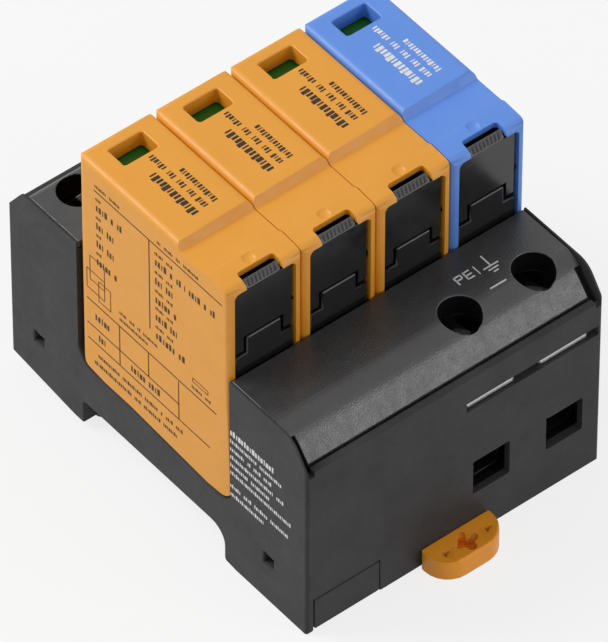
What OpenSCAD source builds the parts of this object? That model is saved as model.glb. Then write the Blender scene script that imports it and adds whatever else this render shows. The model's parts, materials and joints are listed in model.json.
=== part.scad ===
// DIN rail surge arrester: a four-module base with four pluggable protection modules.
// X runs along the rail, -Y is the side with the rail foot, +Z points away from the rail.
// The origin lies on the rail's centre line, in the plane of the rail's flanges.

/* [Row] */
// Pitch of the modules along the rail
module_w = 18; // [17.5:0.5:20]

/* [Base] */
// Distance from the rail's centre line to the front face
front_reach = 46; // [45:0.5:50]
// Distance from the rail's centre line to the back face
back_reach = 44.5; // [44:0.5:48]
// Height of both shoulders above the rail plane
shoulder_h = 43; // [42:0.5:46]
// Height of the front panel's top edge above the rail plane
front_panel_h = 36.5; // [35:0.5:38]
// Length of the side walls' fall from the shoulder to the front panel
front_slope = 4.6; // [4:0.2:5.6]
// Length of the cover's slope behind the front face
cover_slope = 7.4; // [6.6:0.2:8]
// Height of the back panel's top edge above the rail plane
back_panel_h = 36.5; // [35:0.5:38]
// Length of the slope from the back panel up to the shoulder
back_slope = 4.6; // [4:0.2:5.2]
// Depth of the front foot below the rail plane
foot_drop = 8; // [7.8:0.2:10]
// Depth of the heel below the rail plane, at the hook
heel_drop = 6.2; // [5.6:0.1:7]
// Rise of the heel's underside towards the back face
heel_rise = 2.7; // [1:0.1:3.2]
// Thickness of the housing's walls
wall = 1.8; // [1.5:0.1:2]
// Thickness of the cover's sheet
cover_t = 1.7; // [1.4:0.1:1.9]
// Gap between moulded pieces that lie side by side
seam = 0.15; // [0.1:0.05:0.2]
// Gap between pieces that move past each other
play = 0.3; // [0.2:0.05:0.4]

/* [Rail seat] */
// Width of the rail
rail_w = 35; // [34:0.5:36]
// Thickness of the rail's flanges
rail_t = 1; // [0.8:0.1:1.3]
// Room between the rail's flange and the front wall of the channel
channel_front_room = 3.6; // [3.4:0.1:4]
// Room between the rail's flange and the back wall of the channel
channel_back_room = 4.5; // [4:0.1:5]
// Reach of the hook and of the foot under the rail's flanges
hook_bite = 1.7; // [1:0.1:2]
// Thickness of the channel's roof
roof_t = 2; // [1.8:0.1:2.4]

/* [Rail foot] */
// Width of the foot's finger tab
tab_w = 16.7; // [16:0.1:19]
// Length of the finger tab in front of the base
tab_l = 7; // [6.5:0.5:9]
// Thickness of the finger tab
tab_t = 4.8; // [4.4:0.1:5]
// Corner radius of the finger tab
tab_r = 5.5; // [3:0.5:6]
// Width of the foot's slide
slide_w = 14; // [12:0.5:14.5]
// Travel of the foot when it is pulled off the rail
foot_travel = 4.5; // [3.5:0.1:4.5]

/* [Terminals] */
// Distance of the front clamp screws from the front face
front_clamp_in = 10; // [9.4:0.2:10.6]
// Distance of the back clamp screws from the back face
back_clamp_in = 10.5; // [10:0.2:10.9]
// Radius of the screwdriver holes in the cover
hole_r = 4.3; // [4.1:0.1:4.6]
// Width of a wire entry
entry_w = 9; // [8:0.2:9.8]
// Lowest point of a wire entry above the rail plane
entry_low = 3.7; // [3.4:0.1:4]
// Height of a wire entry
entry_h = 8.7; // [8:0.1:9.4]
// Height of the busbar slots above the rail plane
slot_low = 27.6; // [27.4:0.2:28.6]
// Opening of the busbar slots
slot_h = 2.4; // [2.2:0.1:2.8]
// Radius of the clamp screws' shank
screw_r = 2.5; // [2:0.1:2.6]
// Radius of the clamp screws' head
head_r = 3.9; // [3.4:0.1:4]
// Thickness of the conductor bars
bar_t = 2; // [1.5:0.1:2]

/* [Plug] */
// Distance from the rail's centre line to the plugs' front edge
plug_front = 22.6; // [22.2:0.1:23]
// Distance from the rail's centre line to the plugs' back face
plug_back = 23; // [22.6:0.1:23.4]
// Height of the plugs' top above the rail plane
plug_top = 68; // [66.5:0.5:72]
// Height of the cheeks' lower edge above the rail plane, at the back
cheek_low = 11; // [10.5:0.1:12]
// Fall of the cheeks' lower edge towards the front
cheek_fall = 2; // [0.5:0.1:2]
// Thickness of the hood's walls
hood_wall = 1.6; // [1.5:0.1:1.8]
// Gap between neighbouring plugs
plug_gap = 0.2; // [0.2:0.05:0.5]
// Height of the step in the hood's top
step_h = 1.9; // [1:0.1:2.2]
// Distance from the plugs' front edge to the step
step_in = 15; // [13:0.2:17]
// Length of the raised pad at the front of the hood's top
pad_l = 6.8; // [6:0.1:8]
// Rise of the pad above the step's lower level
pad_rise = 0.5; // [0.2:0.1:0.8]
// Radius of the hood's upper edges
edge_r = 2; // [1:0.1:2.2]
// Width of the status window
window_w = 8.3; // [7:0.1:9]
// Length of the status window
window_l = 5.2; // [4:0.1:6]
// Distance from the plugs' back face to the middle of the window
window_in = 6.1; // [5.8:0.1:6.6]

/* [Latch] */
// Width of the latch and of the carrier's front
latch_w = 13.5; // [12.5:0.1:13.7]
// Width of the ribbed grip
grip_w = 8; // [6:0.1:9]
// Height of the grip above the latch's shoulders
grip_h = 1.6; // [1.2:0.1:2]
// Width of the tongue between carrier and latch
tongue_w = 8.1; // [6:0.1:8.6]
// Height of the tongue above the latch's skirts
tongue_h = 3.4; // [2.5:0.1:4]
// Height of the latch's skirts above the shoulder
skirt_up = 5; // [4:0.1:6]
// Number of ribs on the grip
grip_ribs = 9; // [5:1:11]
// Radius of the latch's pivot stubs
pivot_r = 1; // [0.7:0.1:1.2]

/* [Contacts] */
// Thickness of the plugs' contact blades
blade_t = 1.2; // [1:0.1:1.4]
// Width of the contact blades
blade_w = 7; // [5:0.2:7]
// Distance of the blades from the rail's centre line
blade_at = 10; // [9.6:0.2:10.4]
// Edge length of the varistor block
varistor_l = 30; // [26:0.5:31]
// Thickness of the varistor block
varistor_t = 5.6; // [4.5:0.1:5.8]
// Radius of the spark gap's body
spark_r = 5.4; // [4.5:0.1:5.6]
// Travel of the status flag when the plug trips
flag_travel = 7; // [6:0.1:7]

/* [Hidden] */
plug_count = 4;
plugs = [1 : plug_count];
row_w = plug_count * module_w;
// Terminal places: module number and side, -1 for the front and +1 for the back
clamps = [[3, -1], [4, -1], [1, 1], [2, 1], [3, 1], [4, 1]];
clamp_numbers = [1 : len(clamps)];
line_plugs = [1 : plug_count - 1];
earth_plug = plug_count;

$fn = 48;
arc_steps = 6;
eps = 0.01;
over = 1;
snug = 0.2;
soft_r = 0.8;
black = [0.13, 0.13, 0.135];
jet = [0.09, 0.09, 0.095];
orange = [0.91, 0.6, 0.2];
blue = [0.3, 0.44, 0.82];
tin = [0.78, 0.78, 0.76];
copper = [0.75, 0.48, 0.3];
green = [0.12, 0.36, 0.1];
slate = [0.2, 0.28, 0.4];
ceramic = [0.88, 0.86, 0.82];

function plug_x(i) = (i - (plug_count + 1) / 2) * module_w;

// Rail channel
rail_half = rail_w / 2;
channel_front = rail_half + channel_front_room;
channel_back = rail_half + channel_back_room;
rail_play = 0.4;
lip_top = -(rail_t + rail_play);

// Floors and walls inside the housing
floor_t = 1.4;
front_floor = lip_top + play + floor_t;
back_floor = front_floor;
mid_floor = roof_t;
front_in = -front_reach + wall;
back_in = back_reach - wall;
inner_w = row_w - 2 * wall;
cover_w = inner_w - 2 * seam;
leg_t = 0.8;

// Plug bay in the cover
bay_front = -(plug_front + play);
bay_back = plug_back + play;
cheek_front_low = cheek_low - cheek_fall;
bay_drop = 1.4;
bay_floor = cheek_front_low - bay_drop;
cover_sink = 0.1;
cover_top = shoulder_h - cover_sink;

// Socket blocks that stand in the plug bay, between the plugs' cheeks
plug_w = module_w - plug_gap;
plug_in_w = plug_w - 2 * hood_wall;
block_gap = 0.5;
block_w = plug_in_w - 2 * block_gap;
block_wall = 1.3;
block_rise = 6.5;
block_top = cheek_low + block_rise;
carrier_low = block_top + block_gap;

// Terminals
front_clamp_y = -front_reach + front_clamp_in;
back_clamp_y = back_reach - back_clamp_in;
function clamp_side(k) = clamps[k - 1][1];
function clamp_x(k) = plug_x(clamps[k - 1][0]);
function clamp_y(k) = clamp_side(k) < 0 ? front_clamp_y : back_clamp_y;
side_room = wall + leg_t + 2 * seam;
fork_w = module_w - 2 * side_room;
cage_wall = 1.2;
cage_top_t = 2;
cage_w = fork_w - snug;
wire_room = 0.5;
cage_low = entry_low - wire_room - cage_wall;
tongue_room = 1.6;
tongue_low = entry_low + entry_h + tongue_room;
pinch_room = 1.4;
cage_top = tongue_low + bar_t + pinch_room + cage_top_t;
plate_low = slot_low + (slot_h - bar_t) / 2;
plate_top = plate_low + bar_t;
head_gap = 0.4;
head_h = 4.5;
head_low = plate_top + head_gap;
head_top = head_low + head_h;
sleeve_t = 1;
sleeve_room = 2.9;
sleeve_low = head_top + sleeve_room;
bar_w = 9;
strip_t = 1.5;
front_web = bay_front - cover_t - play;
back_web = bay_back + cover_t + play;
front_room = min(front_clamp_y - front_in, front_web - strip_t - front_clamp_y);
back_room = min(back_in - back_clamp_y, back_clamp_y - back_web - strip_t);
cage_room = 1.4;
cage_l = 2 * (min(front_room, back_room) - cage_room);
partition_t = 1.2;

// Plug interior
carrier_w = plug_in_w - 2 * snug;
carrier_wall = 1.5;
hood_in_back = plug_back - hood_wall;
latch_y = -plug_front + play;
latch_t = 1.6;
latch_back = latch_y + latch_t;
skirt_low = shoulder_h + skirt_up;
tongue_top = skirt_low + tongue_h;
skirt_gap = 0.9;
front_wall_top = skirt_low - skirt_gap;
top_low = plug_top - step_h;
pad_top = top_low + pad_rise;
lintel = 1.9;
latch_top = pad_top - lintel - 2 * play;
grip_top = latch_top + grip_h;
pivot_up = 6;
pivot_z = skirt_low + pivot_up;
pivot_y = latch_back + snug;
pivot_play = 0.05;
pivot_l = 0.9;
arm_t = 1.2;
arm_w = 6;
arm_room = 1.1;
arm_y = latch_back + arm_room;
arm_back = arm_y + arm_t;
nose_out = 0.8;
block_front = arm_back + nose_out + snug;
block_l = -2 * block_front;
arm_reach = 4;
arm_low = block_top - arm_reach;
arm_swing = 2.6;
bulkhead_y = arm_back + arm_swing;
deck_depth = 5.8;
deck_top = plug_top - deck_depth;
deck_t = 1.2;
flag_t = 1.2;
flag_low = deck_top + play;
flag_leg = 1.4;
window_y = plug_back - window_in;
varistor_up = 6;
varistor_low = carrier_low + varistor_up;
blade_reach = 3.5;
blade_low = cheek_low - blade_reach;
solder_gap = 0.6;
blade_link_top = varistor_low - solder_gap;

// Points of an outline whose corners are given as [x, y, radius], walked in order
function unit(v) = v / norm(v);
function corner(a, b, c, r) =
    let (u = unit(a - b), v = unit(c - b), half = acos(u * v) / 2, turn = 180 - 2 * half)
    let (centre = b + unit(u + v) * r / sin(half), run = r / tan(half))
    let (d1 = (b + u * run - centre) / r, d2 = (b + v * run - centre) / r)
    [for (s = [0 : arc_steps]) let (t = s / arc_steps)
        centre + r * (sin((1 - t) * turn) * d1 + sin(t * turn) * d2) / sin(turn)];
function flat2(p) = [p[0], p[1]];
function rounded(p) =
    let (n = len(p))
    [for (i = [0 : n - 1])
        let (a = flat2(p[(i + n - 1) % n]), b = flat2(p[i]), c = flat2(p[(i + 1) % n]))
        each p[i][2] > 0 ? corner(a, b, c, p[i][2]) : [b]];

// Extrudes a (Y, Z) outline along X, centred on x = 0
module along_x(w) {
    rotate([90, 0, 90]) linear_extrude(w, center = true) children();
}

// Extrudes an (X, Z) outline along Y, from y0 to y1
module along_y(y0, y1) {
    translate([0, y1, 0]) rotate([90, 0, 0]) linear_extrude(y1 - y0) children();
}

// Box given by its lowest and highest corners
module span(low, high) {
    translate(low) cube(high - low);
}

// Rectangle with rounded corners, given by its lowest and highest corners
module soft_rect(low, high, r) {
    polygon(rounded([
        [low[0], low[1], r], [high[0], low[1], r],
        [high[0], high[1], r], [low[0], high[1], r]
    ]));
}

// Outline of the base seen along the rail
toe_r = 0.5;
channel_r = 4;
shoulder_r = 5;
crest_r = 2;
function base_outline() = rounded([
    [-front_reach, -foot_drop, toe_r],
    [-channel_front, -foot_drop, soft_r],
    [-channel_front, 0, channel_r],
    [channel_back, 0, soft_r],
    [channel_back, -heel_drop, toe_r],
    [back_reach, heel_rise - heel_drop, soft_r],
    [back_reach, back_panel_h, soft_r],
    [back_reach - back_slope, shoulder_h, crest_r],
    [-front_reach + front_slope, shoulder_h, shoulder_r],
    [-front_reach, front_panel_h, soft_r]
]);

// Outline of the hollow inside the base, open above the panels
function base_hollow() = let (high = shoulder_h + over) [
    [front_in, front_floor],
    [-channel_front - wall, front_floor],
    [-channel_front - wall, mid_floor],
    [channel_back + wall, mid_floor],
    [channel_back + wall, back_floor],
    [back_in, back_floor],
    [back_in, back_panel_h],
    [back_reach + over, back_panel_h],
    [back_reach + over, high],
    [-front_reach - over, high],
    [-front_reach - over, front_panel_h],
    [front_in, front_panel_h]
];

// Lower corners of a plug's cheek, from front to back, grown by a gap
cheek_front_r = 3;
cheek_bend_r = 8;
cheek_back_r = 5;
cheek_bend_in = 16;
function cheek_foot(gap) = [
    [-plug_front - gap, cheek_front_low - gap, cheek_front_r],
    [plug_back - cheek_bend_in, cheek_low - gap, cheek_bend_r],
    [plug_back + gap, cheek_low - gap, cheek_back_r]
];

// Cut in the side walls that the outer cheeks drop into
module cheek_cuts() {
    high = shoulder_h + over;
    along_x(row_w + 2 * over)
        polygon(rounded(concat(cheek_foot(play), [[bay_back, high, 0], [bay_front, high, 0]])));
}

// Wire entries and busbar slots through the front and back panels
entry_r = 0.5;
slot_side = 1;
module panel_openings() {
    for (k = clamp_numbers) {
        face = clamp_side(k) < 0 ? -front_reach : back_reach;
        translate([clamp_x(k), 0, 0])
            along_y(face - wall - over, face + wall + over)
                soft_rect([-entry_w / 2, entry_low], [entry_w / 2, entry_low + entry_h], entry_r);
    }
    slot_top = slot_low + slot_h;
    slot_start = clamp_x(1) - fork_w / 2 - play;
    slot_end = row_w / 2 - slot_side;
    span([slot_start, -front_reach - over, slot_low], [slot_end, front_in + over, slot_top]);
    span([-slot_end, back_in - over, slot_low], [slot_end, back_reach + over, slot_top]);
}

// Snap windows in the side walls, and the places of the cover's lugs in them
snap_size = 3;
snap_front_in = 11.6;
snap_front_up = 2.8;
snap_back_in = 8.8;
snap_back_up = 5.8;
snaps = [
    [-front_reach + snap_front_in, front_floor + snap_front_up],
    [back_reach - snap_back_in, back_floor + snap_back_up]
];
module snap_windows() {
    for (s = snaps)
        translate([0, s[0], s[1]]) cube([row_w + 2 * over, snap_size, snap_size], center = true);
}

// Guide for the rail foot in the front foot of the base, with side grooves that hold the slide up
groove_w = 1.2;
groove_t = 1.6;
slide_sink = 0.4;
slide_low = -foot_drop + slide_sink;
slide_top = -foot_drop + tab_t - slide_sink;
groove_up = 1.2;
groove_low = slide_low + groove_up;
lip_l = 4.6;
lip_tip = -rail_half + hook_bite;
module foot_guide() {
    half = slide_w / 2 + play;
    front = -front_reach - over;
    back = -channel_front + over;
    lip_front = lip_tip - lip_l - foot_travel - play;
    span([-half, front, -foot_drop - over], [half, back, slide_top + play]);
    span([-half, lip_front, -foot_drop - over], [half, back, lip_top + play]);
    span([-half - groove_w, front_in, groove_low - play],
         [half + groove_w, back, groove_low + groove_t + play]);
}

// Recess of the signal port's blank, low at the front of the first module
blank_side = 1.9;
blank_short = 2.2;
blank_w = module_w - blank_short;
blank_low_x = -row_w / 2 + blank_side;
blank_high_x = blank_low_x + blank_w;
blank_top = 0.6;
blank_t = 1.2;
blank_up = 0.5;
module blank_recess() {
    span([blank_low_x - seam, -front_reach - over, -foot_drop - over],
         [blank_high_x + seam, -front_reach + blank_t, blank_top + seam]);
}

// Fixed hook behind the rail's back flange
hook_inset = 3;
hook_tip_t = 0.9;
module rail_hook() {
    tip = rail_half - hook_bite;
    root = -heel_drop + play;
    along_x(row_w - 2 * hook_inset)
        polygon([
            [tip, lip_top],
            [channel_back + over, lip_top],
            [channel_back + over, root],
            [channel_back - play, root],
            [tip, lip_top - hook_tip_t]
        ]);
}

// Walls between the terminals
partition_up = 3;
module partitions() {
    front_end = front_web - strip_t - block_gap;
    back_end = back_web + strip_t + block_gap;
    high = plate_top + partition_up;
    half = partition_t / 2;
    for (m = [2, 3])
        translate([(m - plug_count / 2) * module_w, 0, 0])
            span([-half, front_in - eps, front_floor - eps], [half, front_end, high]);
    for (m = [1, 2, 3])
        translate([(m - plug_count / 2) * module_w, 0, 0])
            span([-half, back_end, back_floor - eps], [half, back_in + eps, high]);
}

// Edges of the covers, and the rebates in the side walls that leave a thin rim beside them
lip_gap = 0.35;
lip_rise = 0.2;
cover_front = front_in + lip_gap;
cover_back = back_in - seam;
front_crease = -front_reach + cover_slope;
back_crease_in = 1.2;
back_crease = back_reach - back_slope - back_crease_in;
crease_r = 8;
rim_t = 0.45;
rim_drop = 3;
rim_notch = 1.2;
rim_w = row_w - 2 * rim_t;
flange_w = rim_w - 2 * seam;
shelf = cover_top - cover_t - seam;
function front_rebate() = let (high = shoulder_h + over) [
    [bay_front + over, high],
    [bay_front + over, shelf],
    [front_crease, shelf],
    [front_crease, cover_top - rim_drop],
    [front_in, front_panel_h - rim_drop],
    [front_in, front_panel_h - rim_notch],
    [-front_reach - over, front_panel_h - rim_notch],
    [-front_reach - over, high]
];
function back_rebate() = let (high = shoulder_h + over) [
    [bay_back - over, high],
    [bay_back - over, shelf],
    [back_crease, shelf],
    [back_crease, cover_top - rim_drop],
    [back_in, back_panel_h - rim_drop],
    [back_in, back_panel_h - rim_notch],
    [back_reach + over, back_panel_h - rim_notch],
    [back_reach + over, high]
];
module rim_rebates() {
    for (m = [0, 1]) mirror([m, 0, 0])
        translate([(inner_w + rim_w) / 4, 0, 0]) along_x((rim_w - inner_w) / 2 + 2 * eps) {
            polygon(front_rebate());
            polygon(back_rebate());
        }
}

// Pan of the base: side walls, panels, feet and rail channel in one moulding
module base_housing() {
    color(black) {
        difference() {
            intersection() {
                along_x(row_w) polygon(base_outline());
                translate([0, 0, -foot_drop - over]) linear_extrude(foot_drop + shoulder_h + 2 * over)
                    soft_rect([-row_w / 2, -front_reach], [row_w / 2, back_reach], soft_r);
            }
            along_x(inner_w) polygon(base_hollow());
            rim_rebates();
            cheek_cuts();
            panel_openings();
            snap_windows();
            foot_guide();
            blank_recess();
        }
        partitions();
        rail_hook();
    }
}

// Upper lines of both covers seen along the rail: a slope, a rounded crease and a flat shoulder
front_foot = [cover_front, front_panel_h + lip_rise];
front_bend = [front_crease, cover_top];
back_foot = [cover_back, back_panel_h + lip_rise];
back_bend = [back_crease, cover_top];
function cover_line(foot, bend, r, edge) = let (end = [edge, cover_top])
    concat([foot], corner(foot, bend, end, r), [end]);
front_line = cover_line(front_foot, front_bend, crease_r, bay_front);
back_line = cover_line(back_foot, back_bend, crest_r, bay_back);

// Sheet of a cover with the wall of the plug bay and the ledge under the socket tray
// side is -1 in front of the rail and +1 behind it
slant_share = 1.4;
ledge_l = 1.2;
ledge_t = 1;
ledge_top = bay_floor - cover_t;
function lowered(p, drop) = [p[0], p[1] - drop];
function cover_sheet(line, foot, bend, edge, side) = let (slant = cover_t * slant_share) concat(line, [
    [edge, ledge_top],
    [edge - side * ledge_l, ledge_top],
    [edge - side * ledge_l, ledge_top - ledge_t],
    [edge + side * cover_t, ledge_top - ledge_t],
    [edge + side * cover_t, cover_top - cover_t],
    lowered(bend - [side * cover_t / 2, 0], cover_t),
    lowered(foot, slant)
]);

// Screwdriver sleeves of one side, below the cover's upper line
module sleeves(line, side) {
    intersection() {
        for (k = clamp_numbers)
            if (clamp_side(k) == side)
                translate([clamp_x(k), clamp_y(k), sleeve_low])
                    cylinder(r = hole_r + sleeve_t, h = cover_top - sleeve_low);
        along_x(cover_w) polygon(concat([[line[0][0], 0]], line, [[line[len(line) - 1][0], 0]]));
    }
}

// Socket block of one module, hollow below and slotted for the two blades
module socket_block(i) {
    translate([plug_x(i), 0, 0])
        span([-block_w / 2, -block_l / 2, bay_floor - eps], [block_w / 2, block_l / 2, block_top]);
}
module socket_hollow(i) {
    in_w = block_w / 2 - block_wall;
    in_l = block_l / 2 - block_wall;
    slot = [blade_t + 2 * play, blade_w + 2 * play, 4 * block_wall];
    translate([plug_x(i), 0, 0]) {
        span([-in_w, -in_l, bay_floor - cover_t - over], [in_w, in_l, block_top - block_wall]);
        for (s = [-1, 1])
            translate([0, s * blade_at, block_top]) cube(slot, center = true);
    }
}

// Snap leg of the cover, with its lug in a window of the side wall
leg_w = 5;
lug_sink = 0.5;
lug_edge = 0.5;
module snap_leg(side, y, z) {
    x1 = cover_w / 2;
    x2 = row_w / 2 - lug_sink;
    half = snap_size / 2 - play;
    mirror([side < 0 ? 1 : 0, 0, 0]) {
        span([x1 - leg_t, y - leg_w / 2, z - snap_size / 2],
             [x1, y + leg_w / 2, cover_top - cover_t + eps]);
        along_y(y - half, y + half)
            polygon([
                [x1 - eps, z - half], [x2, z + half - lug_edge], [x2, z + half], [x1 - eps, z + half]
            ]);
    }
}

// Cover of one shoulder: sheet, flanges that lie on the side walls, snap legs and screw holes
module shoulder_cover(line, sheet, snap, side) {
    difference() {
        union() {
            along_x(cover_w) polygon(sheet);
            along_x(flange_w) intersection() {
                polygon(sheet);
                translate([-front_reach, cover_top - cover_t]) square([front_reach + back_reach, cover_t]);
            }
            for (m = [-1, 1]) snap_leg(m, snap[0], snap[1]);
            sleeves(line, side);
        }
        for (k = clamp_numbers)
            if (clamp_side(k) == side)
                translate([clamp_x(k), clamp_y(k), sleeve_low - over])
                    cylinder(r = hole_r, h = cover_top - sleeve_low + 2 * over);
    }
}

// Cover of the front shoulder
module top_cover() {
    sheet = cover_sheet(front_line, front_foot, front_bend, bay_front, -1);
    color(black) shoulder_cover(front_line, sheet, snaps[0], -1);
}

// Cover of the back shoulder
module back_cover() {
    sheet = cover_sheet(back_line, back_foot, back_bend, bay_back, 1);
    color(black) shoulder_cover(back_line, sheet, snaps[1], 1);
}

// Floor of the plug bay with its socket blocks, laid on the ledges of both covers
module socket_tray() {
    color(black) difference() {
        union() {
            span([-cover_w / 2, bay_front + seam, ledge_top], [cover_w / 2, bay_back - seam, bay_floor]);
            for (i = plugs) socket_block(i);
        }
        for (i = plugs) socket_hollow(i);
    }
}

// Plate that closes the unused signal port
module signal_port_blank() {
    color(black)
        along_y(-front_reach, -front_reach + blank_t)
            soft_rect([blank_low_x, -foot_drop + blank_up], [blank_high_x, blank_top], toe_r);
}

// Finger tab of the rail foot, seen from above, with its recesses
tab_back = -front_reach - snug;
tab_front = -front_reach - tab_l;
cross_r = 1.7;
cross_lobe_r = 1;
cross_floor = 1.7;
mark_r = 1.1;
mark_floor = 2.4;
mark_side = 3.2;
module foot_tab() {
    mid = (tab_front + tab_back) / 2;
    half = tab_w / 2;
    difference() {
        translate([0, 0, -foot_drop]) linear_extrude(tab_t)
            polygon(rounded([
                [-half, tab_front, tab_r], [half, tab_front, tab_r],
                [half, tab_back, toe_r], [-half, tab_back, toe_r]
            ]));
        translate([0, mid, -foot_drop + cross_floor]) {
            cylinder(r = cross_r, h = tab_t);
            for (a = [0 : 90 : 270])
                rotate(a) translate([cross_r, 0, 0]) cylinder(r = cross_lobe_r, h = tab_t);
        }
        for (s = [-1, 1])
            translate([s * (half - mark_side), mid, -foot_drop + mark_floor])
                cylinder(r = mark_r, h = tab_t, $fn = 3);
    }
}

// Slide that locks the base on the rail: finger tab, slide bar, side runners and lip
runner_stop = 0.8;
lip_nose = 1.6;
lip_tip_t = 1;
module din_foot() {
    half = slide_w / 2;
    lip_front = lip_tip - lip_l;
    runner = half + groove_w - snug;
    color(orange) {
        foot_tab();
        span([-half, tab_back - eps, slide_low], [half, lip_front + eps, slide_top]);
        span([-runner, front_in + foot_travel + runner_stop, groove_low],
             [runner, -channel_front - runner_stop, groove_low + groove_t]);
        along_x(slide_w)
            polygon([
                [lip_front, slide_low],
                [lip_tip - lip_nose, slide_low],
                [lip_tip, lip_top - lip_tip_t],
                [lip_tip, lip_top],
                [lip_front, lip_top]
            ]);
    }
}

// Limbs of a terminal at (x, y): the tongue above the wire and the fork plate in the busbar slot
tongue_short = 0.4;
fork_in = 0.7;
module terminal_limbs(x, y, side, web) {
    far = y + side * (cage_l / 2 - tongue_short);
    edge = side < 0 ? -front_reach + fork_in : back_reach - fork_in;
    span([x - bar_w / 2, min(web, far), tongue_low], [x + bar_w / 2, max(web, far), tongue_low + bar_t]);
    difference() {
        translate([x, 0, plate_low]) linear_extrude(bar_t)
            soft_rect([-fork_w / 2, min(web, edge)], [fork_w / 2, max(web, edge)], soft_r);
        translate([x, y, plate_low - over]) cylinder(r = screw_r + head_gap, h = bar_t + 2 * over);
    }
}

// Bar from a back terminal to the back socket clip of its plug
bus_half = blade_w / 2 + block_gap;
strip_top = mid_floor + strip_t;
module back_bar(i) {
    low_x = plug_x(i) - bar_w / 2;
    high_x = plug_x(i) + bar_w / 2;
    terminal_limbs(plug_x(i), back_clamp_y, 1, back_web);
    span([low_x, back_web, mid_floor], [high_x, back_web + strip_t, plate_top]);
    span([low_x, blade_at - bus_half, mid_floor], [high_x, back_web + eps, strip_top]);
}

// Bar of one line conductor
module line_bar(i) {
    color(copper) back_bar(i);
}

// Bar that joins the neutral terminal, the last plug's back clip and the other plugs' front clips
bridge_half = 1.8;
module neutral_bar() {
    x_leg = plug_x(earth_plug) - module_w / 2;
    x_low = plug_x(1) - bar_w / 2;
    color(copper) {
        back_bar(earth_plug);
        span([x_leg - bridge_half, blade_at - bus_half, mid_floor],
             [plug_x(earth_plug), blade_at + bus_half, strip_top]);
        span([x_leg - bridge_half, -blade_at - bus_half, mid_floor],
             [x_leg + bridge_half, blade_at, strip_top]);
        span([x_low, -blade_at - bus_half, mid_floor], [x_leg + eps, -blade_at + bus_half, strip_top]);
    }
}

// Bar that joins both earth terminals and the last plug's front clip
module earth_bar() {
    back = front_web;
    front = front_web - strip_t;
    low_x = plug_x(earth_plug) - bar_w / 2;
    high_x = plug_x(earth_plug) + bar_w / 2;
    color(tin) {
        for (k = clamp_numbers)
            if (clamp_side(k) < 0) terminal_limbs(clamp_x(k), front_clamp_y, -1, front_web);
        span([clamp_x(1) - bar_w / 2, front, tongue_low], [high_x, back, plate_top]);
        span([low_x, front, mid_floor], [high_x, back, plate_top]);
        span([low_x, back - eps, mid_floor], [high_x, -blade_at + bus_half, strip_top]);
    }
}

// Sprung clips that grip the blades, two under each plug
clip_t = 0.8;
clip_play = 0.05;
clip_half = 3;
clip_flare = 0.7;
clip_bend = 1;
module socket_clips() {
    inner = blade_t / 2 + clip_play;
    high = block_top - block_wall - clip_t;
    bend = high - clip_bend;
    color(tin) for (i = plugs) for (s = [-1, 1])
        translate([plug_x(i), s * blade_at, 0])
            rotate([90, 0, 0]) linear_extrude(blade_w - 2 * snug, center = true) {
                translate([-clip_half, strip_top]) square([2 * clip_half, clip_t]);
                for (m = [0, 1]) mirror([m, 0])
                    polygon([
                        [inner, strip_top], [inner, bend],
                        [inner + clip_flare, high], [inner + clip_flare + clip_t, high],
                        [inner + clip_t, bend], [inner + clip_t, strip_top]
                    ]);
            }
}

// Lifting cage of a clamp: the wire lies in its window, under the bar's tongue
module clamp_cage(k) {
    half = cage_w / 2;
    roof = cage_top - cage_top_t;
    color(tin) translate([clamp_x(k), clamp_y(k), 0]) difference() {
        translate([0, 0, cage_low]) linear_extrude(cage_top - cage_low)
            soft_rect([-half, -cage_l / 2], [half, cage_l / 2], soft_r);
        span([-half + cage_wall, -cage_l, cage_low + cage_wall], [half - cage_wall, cage_l, roof]);
        translate([0, 0, roof - over]) cylinder(r = screw_r + clip_play, h = cage_top_t + 2 * over);
    }
}

// Captive clamp screw with a cross and slot recess
tip_room = 0.5;
tip_taper = 0.6;
head_taper = 0.5;
recess_w = 1.2;
slot_depth = 1.5;
cross_depth = 2.5;
cross_l = 5;
module clamp_screw(k) {
    tip = tongue_low + bar_t + tip_room;
    shank_low = tip + tip_taper;
    color(tin) translate([clamp_x(k), clamp_y(k), 0]) difference() {
        union() {
            translate([0, 0, tip]) cylinder(r1 = screw_r - tip_taper, r2 = screw_r, h = tip_taper);
            translate([0, 0, shank_low]) cylinder(r = screw_r, h = head_low - shank_low + eps);
            translate([0, 0, head_low]) cylinder(r = head_r, h = head_h - head_taper);
            translate([0, 0, head_top - head_taper])
                cylinder(r1 = head_r, r2 = head_r - head_taper, h = head_taper);
        }
        translate([0, 0, head_top]) {
            cube([2 * head_r + over, recess_w, 2 * slot_depth], center = true);
            cube([recess_w, cross_l, 2 * cross_depth], center = true);
        }
    }
}

// Outline of a hood seen along the rail
side_share = 0.8;
side_r = edge_r * side_share;
hood_front_r = 1.2;
hood_back_r = 2.5;
window_r = 0.7;
step_half = 0.6;
pad_half = 0.5;
pad_fall = 0.5;
function hood_outline() =
    let (front = -plug_front, step_y = -plug_front + step_in, pad_y = -plug_front + pad_l)
    rounded(concat(cheek_foot(0), [
        [plug_back, plug_top, edge_r],
        [step_y + step_half, plug_top, step_half],
        [step_y - step_half, top_low, step_half],
        [pad_y + pad_half, top_low, 0],
        [pad_y - pad_half, pad_top, 0],
        [front, pad_top - pad_fall, edge_r]
    ]));

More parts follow.
